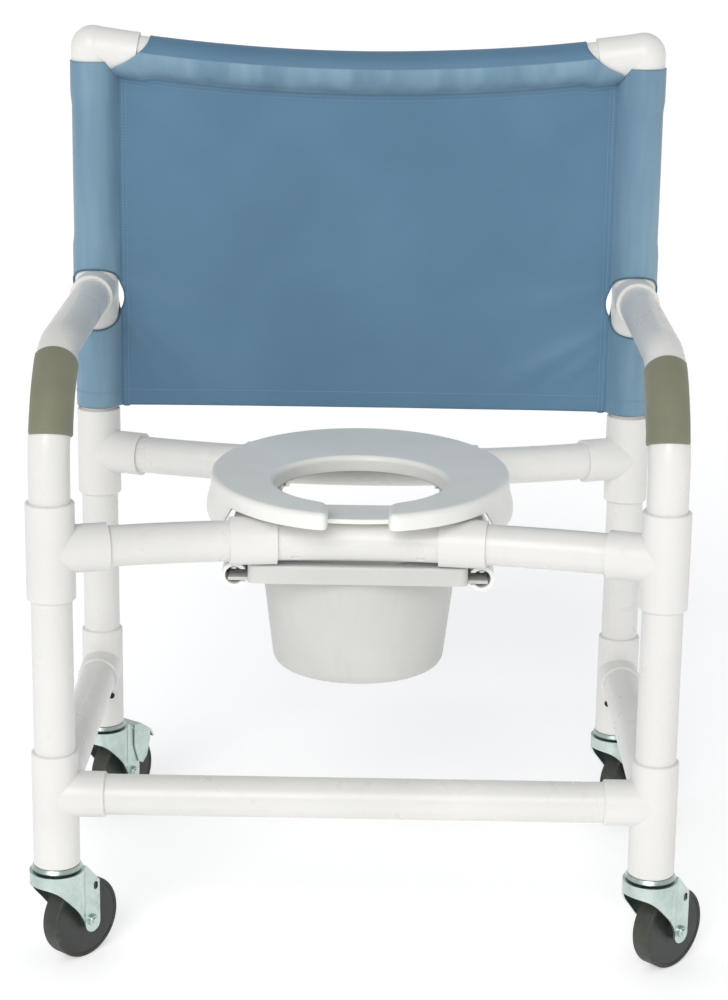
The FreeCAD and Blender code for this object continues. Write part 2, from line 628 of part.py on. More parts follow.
def brake_pedal():
    """A pressed lever over the wheel. Its two ears turn on pins in the fork's upper windows."""
    gap = FORK_HALF + EAR_GAP
    wide = gap + EAR_THICK
    under = [V(36, 0, 116), V(48, 0, 116), V(68, 0, 101.6), V(73.6, 0, 92)]
    upper = [V(76, 0, 93), V(70, 0, 104), V(49, 0, 118.5), V(36, 0, 118.5)]
    plate = Part.Face(Part.makePolygon(under + upper + under[:1])).extrude(Y * 2 * wide)
    plate.translate(Y * -wide)
    ear_edge = under[:3] + [V(67.5, 0, 90), V(61, 0, 68), V(52, 0, 59), V(44, 0, 63), V(36, 0, 88), under[0]]
    parts = []
    for sign in (-1, 1):
        ear = Part.Face(Part.makePolygon(ear_edge)).extrude(Y * EAR_THICK)
        ear.translate(Y * (gap if sign > 0 else -wide))
        pin_start = V(PIN_X, sign * gap, PIN_Z)
        parts += [ear, rod(PIN_R, pin_start, pin_start - Y * sign * (PLATE + EAR_GAP - 0.1))]
    return joined(plate, *parts)


def caster_stem(foot):
    """The stem, with the flange that holds the fork's crown up against the cup."""
    flange_top = CROWN_TOP_Z - PLATE - 0.7
    neck_top = LEG_BOTTOM_Z - 3
    return joined(rod(STEM_R - 0.5, foot + Z * neck_top, foot + Z * (LEG_BOTTOM_Z + PLUG_LEN - 3)),
                  rod(STEM_R, foot + Z * (flange_top - 4), foot + Z * neck_top),
                  rod(FLANGE_R, foot + Z * (flange_top - 5), foot + Z * flange_top))


def caster_cup(foot):
    """The pressed cup under the leg, widest at its waist."""
    waist_height = LEG_BOTTOM_Z - 0.1 - CUP_WAIST_Z
    return joined(Part.makeCone(CUP_FOOT_R, CUP_WAIST_R, CUP_WAIST_Z - CUP_LOW_Z, foot + Z * CUP_LOW_Z, Z),
                  Part.makeCone(CUP_WAIST_R, CUP_TOP_R, waist_height, foot + Z * CUP_WAIST_Z, Z))


def make_casters():
    sockets, stems, cups = [], [], []
    for name, (x, y, heading, braked) in CASTERS.items():
        foot = V(x, y, 0)
        plug = rod(BORE_R, foot + Z * (LEG_BOTTOM_Z + 0.5), foot + Z * (LEG_BOTTOM_Z + PLUG_LEN))
        sockets.append(plug.cut(rod(STEM_R - 0.5, foot, foot + Z * 2 * LEG_BOTTOM_Z)))
        stems.append(caster_stem(foot))
        cups.append(caster_cup(foot).cut(stems[-1]))
        pieces = {"caster_fork_": fork(), "wheel_core_": wheel_core(), "tyre_": tyre(),
                  "caster_axle_": axle_bolt()}
        if braked:
            pieces["brake_pedal_"] = brake_pedal()
        for prefix, shape in pieces.items():
            shape.rotate(V(0, 0, 0), Z, heading)
            shape.translate(foot)
            save(prefix + name, shape)
    save("caster_sockets", *sockets)
    save("caster_stems", *stems)
    save("caster_top_cups", *cups)


os.makedirs("parts", exist_ok=True)
make_fittings()
make_pipes()
save("back_sling", back_sling())
make_seat_and_pail()
make_frame_screws()
make_casters()
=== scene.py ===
"""Looks of the wide shower and commode chair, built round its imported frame.

Metres, in the frame of the CAD model: +Z up, the sitter faces -Y, the floor is z = 0.
"""
import json
import math

import bmesh
import bpy
from mathutils import Matrix, Vector, noise


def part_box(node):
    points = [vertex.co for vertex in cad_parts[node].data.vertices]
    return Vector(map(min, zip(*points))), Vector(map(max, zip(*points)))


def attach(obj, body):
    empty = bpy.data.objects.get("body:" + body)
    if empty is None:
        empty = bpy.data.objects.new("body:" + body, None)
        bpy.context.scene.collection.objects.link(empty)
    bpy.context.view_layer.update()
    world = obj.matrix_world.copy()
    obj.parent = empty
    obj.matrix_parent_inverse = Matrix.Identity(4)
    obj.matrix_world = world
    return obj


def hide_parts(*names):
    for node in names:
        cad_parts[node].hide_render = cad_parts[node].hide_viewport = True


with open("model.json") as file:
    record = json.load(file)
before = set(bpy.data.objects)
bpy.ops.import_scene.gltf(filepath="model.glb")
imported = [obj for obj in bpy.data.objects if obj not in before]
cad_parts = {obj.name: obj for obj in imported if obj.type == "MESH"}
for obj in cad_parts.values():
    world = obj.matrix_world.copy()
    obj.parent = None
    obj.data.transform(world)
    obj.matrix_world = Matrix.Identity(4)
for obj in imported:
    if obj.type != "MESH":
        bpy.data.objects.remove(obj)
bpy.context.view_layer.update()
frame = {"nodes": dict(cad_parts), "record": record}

# ---------------------------------------------------------------- sizes read from the frame
POST_LOW, POST_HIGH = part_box("rear_upper_post_pipes")
PIPE_R = (POST_HIGH.y - POST_LOW.y) / 2
POST_X = POST_HIGH.x - PIPE_R
POST_Y = (POST_HIGH.y + POST_LOW.y) / 2
ARM_TEE_LOW, ARM_TEE_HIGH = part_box("arm_tee_right")
ARM_Z = (ARM_TEE_LOW.z + ARM_TEE_HIGH.z) / 2
FITTING_R = (ARM_TEE_HIGH.x - ARM_TEE_LOW.x) / 2
ELBOW_LOW, ELBOW_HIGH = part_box("top_elbow_right")
RAIL_MIDDLE_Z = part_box("top_rail")[0].z + PIPE_R
RAIL_SAG = ELBOW_HIGH.z - FITTING_R - RAIL_MIDDLE_Z
RAIL_BOW_R = (POST_X ** 2 + RAIL_SAG ** 2) / (2 * RAIL_SAG)
SLING_FOOT_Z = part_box("back_sling")[0].z
ARM_FRONT_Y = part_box("arm_pipe_right")[0].y + PIPE_R
ARM_BEND_R = 0.130
SEAT_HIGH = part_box("commode_seat")[1]

MM = 0.001
TURN = 2 * math.pi


def smooth(value, start=0.0, end=1.0):
    t = min(1.0, max(0.0, (value - start) / (end - start)))
    return t * t * (3 - 2 * t)


def ripple(*where):
    """Smooth noise from -1 to 1."""
    return noise.noise(Vector(where))


# ---------------------------------------------------------------- materials
def linear(*rgb):
    """An sRGB colour in 0 to 255 as the linear values that shaders take."""
    channels = [c / 255 for c in rgb]
    return [c / 12.92 if c <= 0.04045 else ((c + 0.055) / 1.055) ** 2.4 for c in channels] + [1.0]


class Material:
    """A principled material and the few kinds of node that its patterns need."""

    def __init__(self, name, **constants):
        self.data = bpy.data.materials.new(name)
        self.data.use_nodes = True
        self.tree = self.data.node_tree
        self.shader = self.tree.nodes["Principled BSDF"]
        self.shader.inputs["Subsurface Radius"].default_value = (1.0, 1.0, 1.0)
        for socket, value in constants.items():
            self.shader.inputs[socket.replace("_", " ")].default_value = value
        self.place = self.tree.nodes.new("ShaderNodeTexCoord").outputs["Object"]

    def put(self, socket, value):
        if isinstance(value, bpy.types.NodeSocket):
            self.tree.links.new(value, socket)
        elif value is not None:
            socket.default_value = value

    def math(self, operation, a, b=None, c=None):
        node = self.tree.nodes.new("ShaderNodeMath")
        node.operation = operation
        for socket, value in zip(node.inputs, (a, b, c)):
            self.put(socket, value)
        return node.outputs[0]

    def remap(self, value, low, high, to_low, to_high):
        node = self.tree.nodes.new("ShaderNodeMapRange")
        for socket, number in zip(node.inputs, (value, low, high, to_low, to_high)):
            self.put(socket, number)
        return node.outputs[0]

    def stretched(self, x, y, z):
        node = self.tree.nodes.new("ShaderNodeMapping")
        self.put(node.inputs["Vector"], self.place)
        node.inputs["Scale"].default_value = (x, y, z)
        return node.outputs[0]

    def noise(self, scale, detail=2.0, place=None, distortion=0.0):
        node = self.tree.nodes.new("ShaderNodeTexNoise")
        self.put(node.inputs["Vector"], place or self.place)
        node.inputs["Scale"].default_value = scale
        node.inputs["Detail"].default_value = detail
        node.inputs["Distortion"].default_value = distortion
        return node.outputs["Fac"]

    def cells(self, scale, place=None):
        node = self.tree.nodes.new("ShaderNodeTexVoronoi")
        self.put(node.inputs["Vector"], place or self.place)
        node.inputs["Scale"].default_value = scale
        return node.outputs["Distance"]

    def mix(self, factor, first, second):
        node = self.tree.nodes.new("ShaderNodeMix")
        node.data_type = "RGBA"
        for index, value in ((0, factor), (6, first), (7, second)):
            self.put(node.inputs[index], value)
        return node.outputs[2]

    def bump(self, height, distance, below=None, strength=1.0):
        node = self.tree.nodes.new("ShaderNodeBump")
        self.put(node.inputs["Height"], height)
        node.inputs["Distance"].default_value = distance
        node.inputs["Strength"].default_value = strength
        if below:
            self.put(node.inputs["Normal"], below)
        return node.outputs[0]

    def finish(self, colour, roughness, normal=None):
        self.put(self.shader.inputs["Base Color"], colour)
        self.put(self.shader.inputs["Roughness"], roughness)
        self.put(self.shader.inputs["Normal"], normal)
        return self.data


def plastic(name, light, shade, scuff, rough, grain, depth, **constants):
    """Moulded or extruded plastic: soft patches of tone, faint scuffs and a fine skin."""
    m = Material(name, **constants)
    tone = m.remap(m.noise(7.0, 3.0), 0.35, 0.65, 0.0, 1.0)
    body = m.mix(tone, linear(*light), linear(*shade))
    marks = m.noise(38.0, 6.0, m.stretched(1.0, 1.0, 0.35), 0.6)
    worn = m.remap(marks, 0.62, 0.78, 0.0, 0.28)
    colour = m.mix(worn, body, linear(*scuff))
    roughness = m.remap(m.noise(23.0, 4.0), 0.3, 0.7, rough - 0.05, rough + 0.08)
    skin = m.bump(m.noise(grain, 2.0), depth)
    waves = m.bump(m.noise(26.0, 1.0), 0.12 * MM, skin)
    return m.finish(colour, roughness, waves)


def pipe_plastic():
    return plastic("pvc_pipe_plastic", (226, 225, 222), (220, 219, 215), (208, 206, 200),
                   0.30, 900, 0.02 * MM, Subsurface_Weight=0.06, Subsurface_Scale=0.004)


def fitting_plastic():
    return plastic("pvc_fitting_plastic", (227, 226, 223), (221, 220, 216), (208, 206, 200),
                   0.36, 420, 0.035 * MM, Subsurface_Weight=0.06, Subsurface_Scale=0.004)


def seat_plastic():
    return plastic("seat_plastic", (238, 238, 234), (232, 232, 227), (219, 218, 212), 0.34, 700, 0.03 * MM,
                   Subsurface_Weight=0.05, Subsurface_Scale=0.004)


def pail_plastic():
    return plastic("pail_plastic", (206, 207, 203), (199, 200, 196), (188, 188, 182), 0.42, 520, 0.04 * MM,
                   Subsurface_Weight=0.2, Subsurface_Scale=0.01)


def track_plastic():
    return plastic("track_plastic", (236, 237, 235), (228, 229, 226), (208, 208, 202), 0.33, 800, 0.02 * MM)


def socket_plastic():
    return plastic("socket_plastic", (168, 168, 163), (158, 158, 152), (140, 140, 134), 0.5, 500, 0.05 * MM)


def wheel_plastic():
    return plastic("wheel_plastic", (46, 52, 47), (40, 46, 42), (66, 71, 66), 0.42, 600, 0.04 * MM)


def tyre_rubber():
    m = Material("tyre_rubber")
    tone = m.remap(m.noise(22.0, 4.0), 0.35, 0.65, 0.0, 1.0)
    body = m.mix(tone, linear(50, 54, 48), linear(60, 63, 55))
    dust = m.remap(m.noise(90.0, 8.0, distortion=0.4), 0.55, 0.72, 0.0, 0.5)
    colour = m.mix(dust, body, linear(84, 86, 76))
    roughness = m.remap(m.noise(60.0, 3.0), 0.3, 0.7, 0.55, 0.75)
    scuffs = m.bump(m.noise(240.0, 5.0), 0.15 * MM)
    return m.finish(colour, roughness, m.bump(m.noise(1400.0, 2.0), 0.05 * MM, scuffs))


def plated_steel():
    m = Material("plated_steel", Metallic=1.0)
    spangle = m.remap(m.cells(150.0), 0.0, 0.75, 0.0, 1.0)
    cloud = m.remap(m.noise(30.0, 4.0), 0.35, 0.65, 0.0, 1.0)
    zinc = m.mix(cloud, linear(200, 216, 210), linear(176, 194, 190))
    colour = m.mix(m.math("MULTIPLY", spangle, 0.3), zinc, linear(222, 230, 224))
    brushed = m.noise(260.0, 4.0, m.stretched(1.0, 1.0, 0.12))
    roughness = m.remap(brushed, 0.3, 0.7, 0.26, 0.42)
    return m.finish(colour, roughness, m.bump(brushed, 0.05 * MM))


def black_screw():
    m = Material("black_screw_metal", Metallic=0.6)
    colour = m.mix(m.remap(m.noise(300.0, 3.0), 0.4, 0.7, 0.0, 1.0), linear(26, 26, 27), linear(58, 57, 55))
    return m.finish(colour, m.remap(m.noise(500.0), 0.3, 0.7, 0.3, 0.5), m.bump(m.noise(700.0), 0.05 * MM))


def pad_foam():
    m = Material("arm_pad_foam", Sheen_Weight=0.25, Sheen_Roughness=0.5)
    tone = m.remap(m.noise(14.0, 4.0), 0.3, 0.7, 0.0, 1.0)
    body = m.mix(tone, linear(126, 126, 104), linear(116, 117, 97))
    pores = m.remap(m.cells(1100.0), 0.0, 0.35, 1.0, 0.0)
    colour = m.mix(m.math("MULTIPLY", pores, 0.3), body, linear(88, 88, 70))
    skin = m.bump(m.cells(1100.0), 0.12 * MM)
    return m.finish(colour, m.remap(tone, 0.0, 1.0, 0.6, 0.72), m.bump(m.noise(60.0, 3.0), 0.25 * MM, skin))


WEAVE_PITCH = 1.3 * MM


def woven(name, body_light, body_dark, band_highlight, gap_tint):
    """Vinyl-coated mesh: a basket weave on the cloth's own flat coordinates, with a painted highlight where
    it lies double: a lighter colour and highlight streaks on the pockets over the pipes.
    """
    m = Material(name, Sheen_Weight=0.15, Sheen_Roughness=0.4)
    uv = m.tree.nodes.new("ShaderNodeUVMap")
    uv.uv_map = CLOTH_UV
    parts = m.tree.nodes.new("ShaderNodeSeparateXYZ")
    m.put(parts.inputs[0], uv.outputs[0])
    across = m.math("MULTIPLY", parts.outputs["X"], math.pi / WEAVE_PITCH)
    up = m.math("MULTIPLY", parts.outputs["Y"], math.pi / WEAVE_PITCH)
    warp = m.math("ABSOLUTE", m.math("SINE", across))
    weft = m.math("ABSOLUTE", m.math("SINE", up))
    over = m.math("GREATER_THAN", m.math("MULTIPLY", m.math("SINE", across), m.math("SINE", up)), 0.0)
    thread = m.math("ADD", m.math("MULTIPLY", over, warp),
                    m.math("MULTIPLY", m.math("SUBTRACT", 1.0, over), weft))
    # The band attribute says where the cloth gets the painted highlight.
    highlight_band = m.tree.nodes.new("ShaderNodeAttribute")
    highlight_band.attribute_name = BAND_ATTRIBUTE
    band = m.remap(highlight_band.outputs["Fac"], -0.4 * MM, 0.4 * MM, 0.0, 1.0)
    tone = m.remap(m.noise(5.0, 3.0), 0.35, 0.65, 0.0, 1.0)
    panel = m.mix(tone, linear(*body_light), linear(*body_dark))
    # Painted highlight: vertical streaks of a lighter colour over the pocket bands.
    highlight_streaks = m.noise(26.0, 3.0, m.stretched(1.0, 1.0, 0.12))
    pocket = m.mix(m.remap(highlight_streaks, 0.35, 0.68, 0.3, 0.85), panel, linear(*band_highlight))
    colour = m.mix(band, panel, pocket)
    gaps = m.remap(thread, 0.1, 0.55, 0.35, 0.0)
    threads = m.mix(gaps, colour, linear(*gap_tint))
    bump = m.bump(thread, 0.16 * MM, strength=0.7)
    creases = m.bump(m.noise(55.0, 4.0), 0.35 * MM, bump)
    return m.finish(threads, m.remap(thread, 0.0, 1.0, 0.62, 0.44), creases)


def thread_cotton():
    m = Material("sling_thread")
    colour = m.mix(m.noise(400.0), linear(138, 168, 188), linear(112, 146, 170))
    return m.finish(colour, m.remap(m.noise(900.0), 0.3, 0.7, 0.5, 0.7), m.bump(m.noise(2500.0), 0.08 * MM))


# ---------------------------------------------------------------- mesh helpers
CLOTH_UV = "cloth"
# The attribute that carries where the sling gets its painted highlight.
BAND_ATTRIBUTE = "highlight_band"


def new_piece(name, verts, faces, material, body):
    mesh = bpy.data.meshes.new(name)
    mesh.from_pydata([tuple(v) for v in verts], [], faces)
    mesh.validate()
    mesh.update()
    mesh.polygons.foreach_set("use_smooth", [True] * len(mesh.polygons))
    piece = bpy.data.objects.new(name, mesh)
    bpy.context.scene.collection.objects.link(piece)
    mesh.materials.append(material)
    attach(piece, body)
    return piece


def face_outwards(piece):
    bm = bmesh.new()
    bm.from_mesh(piece.data)
    bmesh.ops.recalc_face_normals(bm, faces=bm.faces)
    bm.to_mesh(piece.data)
    bm.free()


def ring_faces(first, second, count, closed=True):
    """Quads between two rings of vertices that start at those indices."""
    steps = count if closed else count - 1
    return [(first + i, first + (i + 1) % count, second + (i + 1) % count, second + i) for i in range(steps)]


# ---------------------------------------------------------------- back sling
SEAM_GAP = 32 * MM
SNUG_R = 28.4 * MM
RAIL_SNUG_R = 25.8 * MM
OVER_FITTING_R = 30.2 * MM
RAIL_SEAM_GAP = 28.5 * MM
ELBOW_SEAM_GAP = 32.5 * MM
CLOTH_GAP = 1.3 * MM
FLAP = 12 * MM
HEM = 25 * MM
SHOULDER = 14 * MM
SEAM_X = POST_X - SEAM_GAP
BAND_X = SEAM_X + 3 * MM
CREST_X = 0.280
CORNER_RISE = 21 * MM
CORNER_REACH = 5 * MM
CORNER_FLARE = 7 * MM
LOOP_LENGTH = 0.190
RAIL_LOOP_LENGTH = 0.176
ARM_HOLE_ACROSS = 52.7 * MM
ARM_HOLE_UP = 40.5 * MM
ARM_HOLE_W = 47.7 * MM
ARM_HOLE_Z = ARM_Z - 10.5 * MM
# The holes on each side: w and z of the middle, half across and half up
ARM_HOLES = ((ARM_HOLE_W, ARM_HOLE_Z, ARM_HOLE_ACROSS, ARM_HOLE_UP),
             (LOOP_LENGTH, ARM_Z - 2 * MM, 16 * MM, 28 * MM))
FACING_DOWN = 14 * MM
PANEL_COLUMNS, LOOP_COLUMNS, FLAP_COLUMNS = 84, 34, 2
MAIN_ROWS, HEM_ROWS, RAIL_ROWS = 58, 4, 34
CLOTH_THICK = 0.9 * MM
CREASE_DEPTH = 1.8
# Soft creases in the panel: start x, start z, end x, end z, width and depth
CREASES = ((0.318, 0.688, 0.150, 0.592, 14 * MM, 3.2 * MM),
           (0.322, 0.672, 0.225, 0.590, 10 * MM, 2.4 * MM),
           (0.312, 0.742, 0.130, 0.690, 22 * MM, 2.0 * MM),
           (-0.318, 0.690, -0.215, 0.594, 13 * MM, 3.2 * MM),
           (-0.322, 0.670, -0.275, 0.590, 9 * MM, 2.6 * MM),
           (-0.312, 0.745, -0.160, 0.668, 20 * MM, 2.0 * MM),
           (-0.300, 0.985, -0.170, 0.900, 26 * MM, 1.4 * MM),
           (0.300, 0.985, 0.190, 0.910, 24 * MM, 1.2 * MM))


def rail_z(x):
    return RAIL_MIDDLE_Z + RAIL_BOW_R - math.sqrt(RAIL_BOW_R ** 2 - x * x)


def over_elbow(x):
    return smooth(abs(x), ELBOW_LOW.x - SHOULDER, ELBOW_LOW.x)


def rail_seam_gap(x):
    return RAIL_SEAM_GAP + (ELBOW_SEAM_GAP - RAIL_SEAM_GAP) * over_elbow(x)


def panel_top(x):
    return rail_z(x) - rail_seam_gap(x)


def post_pocket_r(z):
    above_foot = smooth(z, ARM_TEE_LOW.z - SHOULDER, ARM_TEE_LOW.z)
    below_head = smooth(z, ARM_TEE_HIGH.z + SHOULDER, ARM_TEE_HIGH.z)
    tee = above_foot * below_head
    elbow = smooth(z, ELBOW_LOW.z - SHOULDER, ELBOW_LOW.z)
    return SNUG_R + (OVER_FITTING_R - SNUG_R) * max(tee, elbow)


def rail_pocket_r(x):
    return RAIL_SNUG_R + (OVER_FITTING_R - RAIL_SNUG_R) * over_elbow(x)


def loop_point(k, seam_gap, radius):
    """A pocket's outline round a pipe: how far from the axis towards the seam, and towards the front.

    k runs from 0 at the seam in front, over the pipe, to 1 at the seam behind, and past 1 along the flap.
    """
    open_angle = math.acos(radius / seam_gap)
    straight = math.sqrt(seam_gap ** 2 - radius ** 2)
    arc = radius * (TURN - 2 * open_angle)
    total = 2 * straight + arc
    if k > 1:
        return seam_gap + (k - 1) * total, -CLOTH_GAP
    s = k * total
    if s < straight:
        t = s / straight
        return seam_gap + (radius * math.cos(open_angle) - seam_gap) * t, radius * math.sin(open_angle) * t
    if s < straight + arc:
        angle = open_angle + (s - straight) / radius
        return radius * math.cos(angle), radius * math.sin(angle)
    t = (s - straight - arc) / straight
    tip_towards, tip_front = radius * math.cos(open_angle), -radius * math.sin(open_angle)
    return tip_towards + (seam_gap - tip_towards) * t, tip_front + (-CLOTH_GAP - tip_front) * t


def crease_depth(x, z):
    depth = 0.0
    for x0, z0, x1, z1, width, most in CREASES:
        dx, dz = x1 - x0, z1 - z0
        t = min(1.0, max(0.0, ((x - x0) * dx + (z - z0) * dz) / (dx * dx + dz * dz)))
        away = math.hypot(x - x0 - t * dx, z - z0 - t * dz)
        across = math.exp(-(away / (width * (0.5 + t))) ** 2)
        depth += CREASE_DEPTH * most * across * math.sin(math.pi * min(1.0, 0.12 + t)) ** 0.8
    return depth


def panel_y(x, z):
    """The panel hangs in the posts' plane and gives a little towards the back."""
    inside = smooth(SEAM_X - abs(x), 0, 50 * MM) * smooth(panel_top(x) - z, 0, 50 * MM)
    share = (z - SLING_FOOT_Z) / (panel_top(x) - SLING_FOOT_Z)
    belly = 7 * MM * (1 - (x / SEAM_X) ** 2) * math.sin(math.pi * min(1.0, 0.25 + 0.75 * share))
    small = 0.9 * MM * ripple(x * 11, 3.1, z * 9) + 0.4 * MM * ripple(x * 30, 7.7, z * 24)
    near_edge = smooth(SEAM_X - abs(x), 0, 12 * MM) * smooth(panel_top(x) - z, 0, 12 * MM)
    return POST_Y + belly * inside + near_edge * (small - crease_depth(x, z))


def on_panel(x, z, lift=0.0):
    return Vector((x, panel_y(x, z) - lift, z))


def on_post_loop(side, k, z, lift=0.0):
    wrinkle = 0.7 * MM * ripple(k * 9 + 20 * side, 1.0, z * 6) * smooth(math.sin(math.pi * min(1, k)), 0, 0.4)
    towards, front = loop_point(k, SEAM_GAP + lift, post_pocket_r(z) + wrinkle + lift)
    return Vector((side * (POST_X - towards), POST_Y - front, z))


def on_rail_loop(share, k, lift=0.0):
    """share is the place across, from -1 at one side to 1 at the other."""
    narrow = smooth(math.sin(math.pi * min(1.0, k)), 0.35, 1.0)
    flare = CORNER_FLARE * abs(share) ** 12 * smooth(k, 0, 0.03) * (1 - smooth(k, 0.12, 0.2))
    x = share * (SEAM_X + flare - (SEAM_X - CREST_X) * narrow)
    facing = 0.9 * MM * (1 - smooth(k, 0.27, 0.29))
    wrinkle = 0.6 * MM * ripple(x * 5, 4.0, k * 8) * smooth(math.sin(math.pi * min(1, k)), 0, 0.4)
    towards, front = loop_point(k, rail_seam_gap(x) + lift, rail_pocket_r(x) + facing + wrinkle + lift)
    return Vector((x, POST_Y - front, rail_z(x) - towards))


def main_point(w, z, side, lift=0.0):
    """A point on one half of the sling, w beyond the seam towards the post, or inside it if negative."""
    if w <= 0:
        return on_panel(side * (SEAM_X + w), z, lift)
    return on_post_loop(side, w / LOOP_LENGTH, z, lift)


def arm_hole(w, z):
    """The nearest hole, and how far out of it a point is: under 1 is inside."""
    sized = [(math.hypot((w - mid_w) / across, (z - mid_z) / up), mid_w, mid_z)
             for mid_w, mid_z, across, up in ARM_HOLES]
    return min(sized)


def column_list():
    """Every column as its side, and its w beyond the seam."""
    columns = []
    loop = [LOOP_LENGTH * (i + 1) / LOOP_COLUMNS for i in range(LOOP_COLUMNS)]
    loop += [LOOP_LENGTH + FLAP * (i + 1) / FLAP_COLUMNS for i in range(FLAP_COLUMNS)]
    columns += [(-1, w) for w in reversed(loop)]
    for i in range(PANEL_COLUMNS + 1):
        x = SEAM_X * (2 * i / PANEL_COLUMNS - 1)
        columns.append((1 if x > 0 else -1, abs(x) - SEAM_X))
    return columns + [(1, w) for w in loop]


def column_top(side, w):
    if w <= 0:
        return panel_top(side * (SEAM_X + w))
    return panel_top(SEAM_X) + CORNER_RISE * smooth(min(w, LOOP_LENGTH - w), 0, CORNER_REACH)


def sling_grid():
    """Vertices, faces, flat coordinates and distances into the painted-highlight bands of the double cloth,
    for the whole sling as one sheet.
    """
    columns = column_list()
    panel_from = LOOP_COLUMNS + FLAP_COLUMNS
    panel_to = panel_from + PANEL_COLUMNS
    verts, flat, highlight_band, inside = [], [], [], []
    index = {}

    def add(key, point, uv, band, hole=False):
        index[key] = len(verts)
        verts.append(point)
        flat.append(uv)
        highlight_band.append(band)
        inside.append(hole)

    for row in range(-HEM_ROWS, MAIN_ROWS + 1):
        for column, (side, w) in enumerate(columns):
            if row < 0:
                if w > LOOP_LENGTH:
                    continue
                z, lift = SLING_FOOT_Z + HEM * -row / HEM_ROWS, -CLOTH_GAP
                v = SLING_FOOT_Z - HEM * -row / HEM_ROWS
                # In the hem the pocket part past the seam gets the painted highlight.
                add((row, column), main_point(w, z, side, lift), (side * (SEAM_X + w), v), w)
                continue
            z = SLING_FOOT_Z + (column_top(side, w) - SLING_FOOT_Z) * row / MAIN_ROWS
            g, mid_w, mid_z = arm_hole(w, z)
            if g < 1:
                w_edge = mid_w + (w - mid_w) / max(g, 1e-6)
                z_edge = mid_z + (z - mid_z) / max(g, 1e-6)
                point = main_point(w_edge, z_edge, side)
                # Painted highlight on the pocket side of an arm hole's edge.
                band = w_edge - (BAND_X - SEAM_X)
                add((row, column), point, (side * (SEAM_X + w_edge), z_edge), band, True)
            else:
                # Painted highlight on the post pockets, from just past the seam outwards.
                band = max(w - (BAND_X - SEAM_X), z - column_top(side, min(w, 0)) - FACING_DOWN)
                add((row, column), main_point(w, z, side), (side * (SEAM_X + w), z), band)

    for row in range(1, RAIL_ROWS + FLAP_COLUMNS + 1):
        past_seam = max(0, row - RAIL_ROWS) / FLAP_COLUMNS * FLAP / RAIL_LOOP_LENGTH
        k = min(row, RAIL_ROWS) / RAIL_ROWS + past_seam
        for column in range(panel_from, panel_to + 1):
            share = 2 * (column - panel_from) / PANEL_COLUMNS - 1
            point = on_rail_loop(share, k)
            v = panel_top(point.x) + k * RAIL_LOOP_LENGTH
            # Painted highlight on the top rail's pocket: the facing strip from the front seam up to the
            # ridge.
            band = (0.28 - k) * RAIL_LOOP_LENGTH
            add((MAIN_ROWS + row, column), point, (share * SEAM_X, v), band)

    faces = []
    for row, column in index:
        keys = [(row, column), (row, column + 1), (row + 1, column + 1), (row + 1, column)]
        if all(key in index for key in keys):
            face = tuple(index[key] for key in keys)
            if not all(inside[i] for i in face):
                faces.append(face)
    return verts, faces, flat, highlight_band


def write_cloth_data(piece, flat, highlight_band):
    mesh = piece.data
    layer = mesh.uv_layers.new(name=CLOTH_UV)
    for loop in mesh.loops:
        layer.data[loop.index].uv = flat[loop.vertex_index]
    attribute = mesh.attributes.new(BAND_ATTRIBUTE, "FLOAT", "POINT")
    attribute.data.foreach_set("value", highlight_band)


def drop_loose(piece):
    bm = bmesh.new()
    bm.from_mesh(piece.data)
    bmesh.ops.delete(bm, geom=[v for v in bm.verts if not v.link_faces], context="VERTS")
    bm.to_mesh(piece.data)
    bm.free()


def make_sling():
    verts, faces, flat, highlight_band = sling_grid()
    # The third colour is the painted highlight of the pocket bands.
    cloth = woven("sling_mesh", (86, 125, 153), (79, 117, 145), (136, 168, 186), (58, 92, 118))
    sling = new_piece("sling", verts, faces, cloth, "frame")
    write_cloth_data(sling, flat, highlight_band)
    drop_loose(sling)
    refine = sling.modifiers.new("refine", "SUBSURF")
    refine.levels = refine.render_levels = 1
    thick = sling.modifiers.new("thick", "SOLIDIFY")
    thick.thickness = CLOTH_THICK
    thick.offset = 0.0
    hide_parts("back_sling")
    return sling


# ---------------------------------------------------------------- seams, hem stitches and bindings
STITCH_STEP = 4.2 * MM
STITCH_LONG = 3.0 * MM
STITCH_R = 0.42 * MM
STITCH_SIDES = 6


def stitch_lines():
    lift = CLOTH_THICK / 2 + 0.15 * MM
    lines = []
    for side in (-1, 1):
        for inset in (4 * MM, 9 * MM):
            low, high = SLING_FOOT_Z + 2 * MM, panel_top(SEAM_X - inset) - 2 * MM
            steps = 90
            heights = [low + (high - low) * i / steps for i in range(steps + 1)]
            whole = [(main_point(-inset, z, side, lift), arm_hole(-inset, z)[0]) for z in heights]
            lines += runs_outside_hole(whole)
        hem = SLING_FOOT_Z + HEM - 2 * MM
        lines.append([main_point(LOOP_LENGTH / 2 * i / 40, hem, side, lift) for i in range(1, 41)])
    steps = 160
    across = [SEAM_X * (2 * i / steps - 1) for i in range(steps + 1)]
    lines.append([on_panel(x, SLING_FOOT_Z + HEM - 2 * MM, lift) for x in across])
    for down in (4 * MM, 9 * MM):
        lines.append([on_panel(x * 0.985, panel_top(x) - down, lift) for x in across])
    return lines


def runs_outside_hole(points):
    runs, run = [], []
    for point, inside in points:
        if inside > 1.06:
            run.append(point)
        elif run:
            runs.append(run)
            run = []
    return runs + [run] if run else runs


def along_line(points, step):
    """Middle points and directions spaced evenly along a polyline."""
    carried = step / 2
    for a, b in zip(points, points[1:]):
        length = (b - a).length
        while carried < length:
            yield a.lerp(b, carried / length), (b - a).normalized()
            carried += step
        carried -= length


